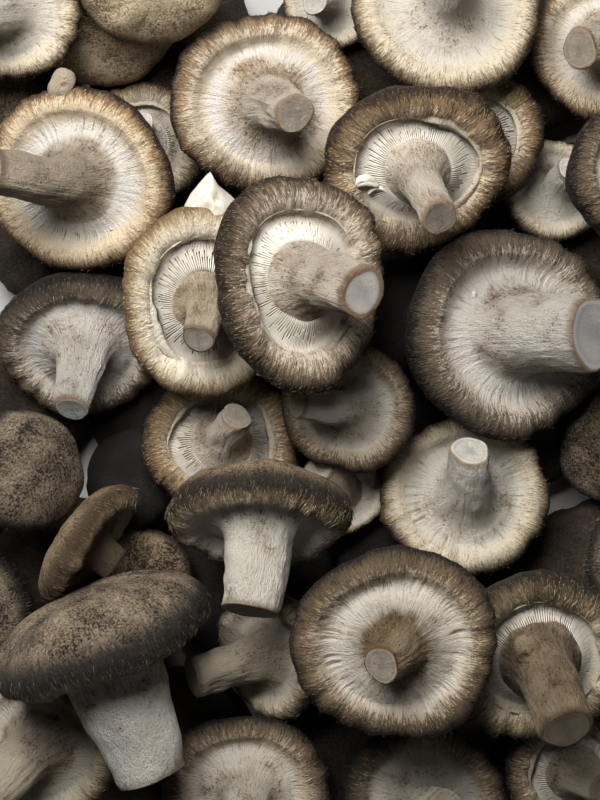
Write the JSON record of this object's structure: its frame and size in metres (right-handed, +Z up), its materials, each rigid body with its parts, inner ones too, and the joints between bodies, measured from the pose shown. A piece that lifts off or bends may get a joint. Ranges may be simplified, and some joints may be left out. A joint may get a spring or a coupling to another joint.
{
  "type": "heap of fresh shiitake mushrooms",
  "caption": "Loose heap of fresh shiitake mushrooms, mostly gills and stems up, with brown fibrous rims, white veils and cut stems.",
  "frame": {"origin": "on the ground, under the middle of the heap's bounding box", "axes": "+Z up; +Y along the heap's longer side, away from a viewer who stands at the front; +X to the right"},
  "size_m": [0.2514, 0.2934, 0.1117],
  "materials": {
    "dark_mushroom": "matte",
    "tan_mushroom": "matte",
    "pale_mushroom": "matte"
  },
  "bodies": {
    "root": {"bed_row1_1": "dark_mushroom", "bed_row1_2": "dark_mushroom", "bed_row1_3": "dark_mushroom", "bed_row1_4": "dark_mushroom", "bed_row2_1": "dark_mushroom", "bed_row2_2": "dark_mushroom", "bed_row2_3": "dark_mushroom", "bed_row2_4": "dark_mushroom", "bed_row3_1": "dark_mushroom", "bed_row3_2": "dark_mushroom", "bed_row3_3": "dark_mushroom", "bed_row3_4": "dark_mushroom", "bed_row4_1": "dark_mushroom", "bed_row4_2": "dark_mushroom", "bed_row4_3": "dark_mushroom", "bed_row4_4": "dark_mushroom", "bed_row5_1": "dark_mushroom", "bed_row5_2": "dark_mushroom", "bed_row5_3": "dark_mushroom", "bed_row5_4": "dark_mushroom", "behind_the_wide_rim": "tan_mushroom", "below_brown_stem": "tan_mushroom", "big_dark_cap": "dark_mushroom", "bottom_centre": "tan_mushroom", "bottom_left_gills": "tan_mushroom", "bottom_right": "tan_mushroom", "brown_stem": "tan_mushroom", "centre": "tan_mushroom", "deep_centre": "tan_mushroom", "deep_left": "dark_mushroom", "deep_lower_left": "pale_mushroom", "deep_right": "pale_mushroom", "deep_top": "pale_mushroom", "edge_on": "tan_mushroom", "far_left_brown": "tan_mushroom", "far_left_flat": "tan_mushroom", "left_dark_rim": "dark_mushroom", "left_edge_high": "dark_mushroom", "left_edge_low": "dark_mushroom", "left_edge_middle": "dark_mushroom", "left_gold": "tan_mushroom", "lying_white": "tan_mushroom", "pale_torn_lip": "pale_mushroom", "radial_slits": "pale_mushroom", "right_edge_hairy": "dark_mushroom", "right_edge_low": "tan_mushroom", "right_edge_lower": "dark_mushroom", "round_veil": "dark_mushroom", "side_view": "tan_mushroom", "small_pale": "pale_mushroom", "tan_gills": "tan_mushroom", "thick_stem": "dark_mushroom", "top_centre": "tan_mushroom", "top_left_lower": "tan_mushroom", "top_left_upper": "pale_mushroom", "top_right_far": "tan_mushroom", "top_right_pale": "pale_mushroom", "white_gills": "pale_mushroom", "white_veil": "tan_mushroom", "wide_rim": "tan_mushroom"}
  },
  "joints": []
}
